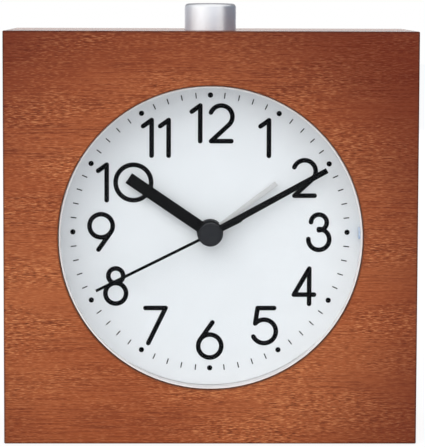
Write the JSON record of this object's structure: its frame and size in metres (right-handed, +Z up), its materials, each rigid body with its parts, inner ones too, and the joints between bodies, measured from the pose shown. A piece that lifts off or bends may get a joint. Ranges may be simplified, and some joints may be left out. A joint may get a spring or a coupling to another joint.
{
  "type": "analog alarm clock",
  "caption": "Square wooden table alarm clock with a round recessed dial, plain numerals, hour, minute, second and alarm hands, and a round silver button on top.",
  "frame": {"origin": "middle of the underside of the case", "axes": "+X to the right seen from the front, +Y from the front to the back, +Z up"},
  "size_m": [0.1, 0.045, 0.1066],
  "materials": {
    "walnut_brown_wood": "satin oiled",
    "white_plastic": "smooth",
    "clear_plastic": "polished",
    "dial_white": "matte",
    "black_ink": "printed",
    "hand_black": "satin",
    "hand_grey": "satin",
    "satin_silver": "satin turned",
    "black_plastic": "fine grain",
    "wheel_plastic": "smooth",
    "steel": "satin",
    "magnet_grey": "ground",
    "copper_wire": "enamelled",
    "board_green": "coated",
    "battery_jacket": "gloss printed",
    "dome_rubber": "soft",
    "light_resin": "clear"
  },
  "bodies": {
    "case": {"wood_front": "walnut_brown_wood", "wood_top": "walnut_brown_wood", "wood_bottom": "walnut_brown_wood", "wood_left": "walnut_brown_wood", "wood_right": "walnut_brown_wood", "corner_blocks": "walnut_brown_wood", "dial_housing": "white_plastic", "dial_carrier": "white_plastic", "front_plate": "white_plastic", "middle_plate": "white_plastic", "rear_cover": "white_plastic", "coil_bobbin": "white_plastic", "switch_bracket": "white_plastic", "lens": "clear_plastic", "dial": "dial_white", "hour_numerals": "black_ink", "minute_track": "black_ink", "back_cover": "black_plastic", "switch_body": "black_plastic", "buzzer": "black_plastic", "timing_chip": "black_plastic", "stator": "steel", "coil_core": "steel", "positive_contact": "steel", "negative_contact": "steel", "quartz_crystal": "steel", "cover_screws": "steel", "housing_screws": "steel", "movement_screws": "steel", "bracket_screws": "steel", "coil_winding": "copper_wire", "circuit_board": "board_green", "snooze_board": "board_green", "battery": "battery_jacket", "button_dome": "dome_rubber", "dial_light": "light_resin"},
    "second_hand": {"second_hand": "hand_black", "second_wheel": "wheel_plastic"},
    "third_wheel": {"third_wheel": "wheel_plastic"},
    "minute_hand": {"minute_hand": "hand_black", "minute_arbor": "wheel_plastic", "centre_wheel": "wheel_plastic"},
    "motion_wheel": {"motion_wheel": "wheel_plastic"},
    "hour_hand": {"hour_hand": "hand_black", "hour_wheel": "wheel_plastic"},
    "intermediate_wheel": {"intermediate_wheel": "wheel_plastic"},
    "rotor": {"rotor": "wheel_plastic", "rotor_magnet": "magnet_grey"},
    "time_knob": {"time_shaft": "wheel_plastic", "time_knob": "black_plastic"},
    "alarm_hand": {"alarm_hand": "hand_grey", "alarm_wheel": "wheel_plastic"},
    "alarm_knob": {"alarm_shaft": "wheel_plastic", "alarm_knob": "black_plastic"},
    "alarm_slider": {"alarm_slider": "black_plastic"},
    "snooze_button": {"snooze_button": "satin_silver"},
    "battery_door": {"battery_door": "black_plastic"}
  },
  "joints": [
    {"name": "second_hand_turn", "type": "hinge", "parent": "case", "child": "second_hand", "pos_m": [0, 0, 0.05], "axis": [0, 1, 0], "continuous": true},
    {"name": "third_wheel_turn", "type": "hinge", "parent": "case", "child": "third_wheel", "pos_m": [0, 0, 0.06148], "axis": [0, 1, 0], "continuous": true},
    {"name": "minute_hand_turn", "type": "hinge", "parent": "case", "child": "minute_hand", "pos_m": [0, 0, 0.05], "axis": [0, 1, 0], "continuous": true},
    {"name": "motion_wheel_turn", "type": "hinge", "parent": "case", "child": "motion_wheel", "pos_m": [-0.0072, 0, 0.05], "axis": [0, 1, 0], "continuous": true},
    {"name": "hour_hand_turn", "type": "hinge", "parent": "case", "child": "hour_hand", "pos_m": [0, 0, 0.05], "axis": [0, 1, 0], "continuous": true},
    {"name": "intermediate_wheel_turn", "type": "hinge", "parent": "case", "child": "intermediate_wheel", "pos_m": [-0.00358, 0, 0.03897], "axis": [0, 1, 0], "continuous": true},
    {"name": "rotor_turn", "type": "hinge", "parent": "case", "child": "rotor", "pos_m": [0.00522, 0, 0.0371], "axis": [0, 1, 0], "continuous": true},
    {"name": "time_knob_turn", "type": "hinge", "parent": "case", "child": "time_knob", "pos_m": [-0.0153, 0, 0.05], "axis": [0, 1, 0], "continuous": true},
    {"name": "alarm_knob_turn", "type": "hinge", "parent": "case", "child": "alarm_knob", "pos_m": [0.0153, 0, 0.05], "axis": [0, 1, 0], "continuous": true},
    {"name": "alarm_hand_turn", "type": "hinge", "parent": "case", "child": "alarm_hand", "pos_m": [0, 0, 0.05], "axis": [0, 1, 0], "continuous": true},
    {"name": "alarm_switch_slide", "type": "slide", "parent": "case", "child": "alarm_slider", "axis": [1, 0, 0], "range_m": [0, 0.004]},
    {"name": "snooze_press", "type": "slide", "parent": "case", "child": "snooze_button", "axis": [0, 0, -1], "range_m": [0, 0.002], "stiffness_N_per_m": 600, "springref_m": -0.001, "deforming": ["button_dome"]},
    {"name": "battery_door_swing", "type": "hinge", "parent": "case", "child": "battery_door", "pos_m": [0, 0.0177, 0.00915], "axis": [-1, 0, 0], "range_deg": [0, 95]}
  ],
  "couplings": [
    {"joint": "third_wheel_turn", "follows": "second_hand_turn", "ratio": -0.13333},
    {"joint": "minute_hand_turn", "follows": "second_hand_turn", "ratio": 0.016667},
    {"joint": "motion_wheel_turn", "follows": "second_hand_turn", "ratio": -0.0055556},
    {"joint": "hour_hand_turn", "follows": "second_hand_turn", "ratio": 0.0013889},
    {"joint": "time_knob_turn", "follows": "second_hand_turn", "ratio": 0.011111},
    {"joint": "intermediate_wheel_turn", "follows": "second_hand_turn", "ratio": -6},
    {"joint": "rotor_turn", "follows": "second_hand_turn", "ratio": 30},
    {"joint": "alarm_hand_turn", "follows": "alarm_knob_turn", "ratio": -0.25}
  ]
}
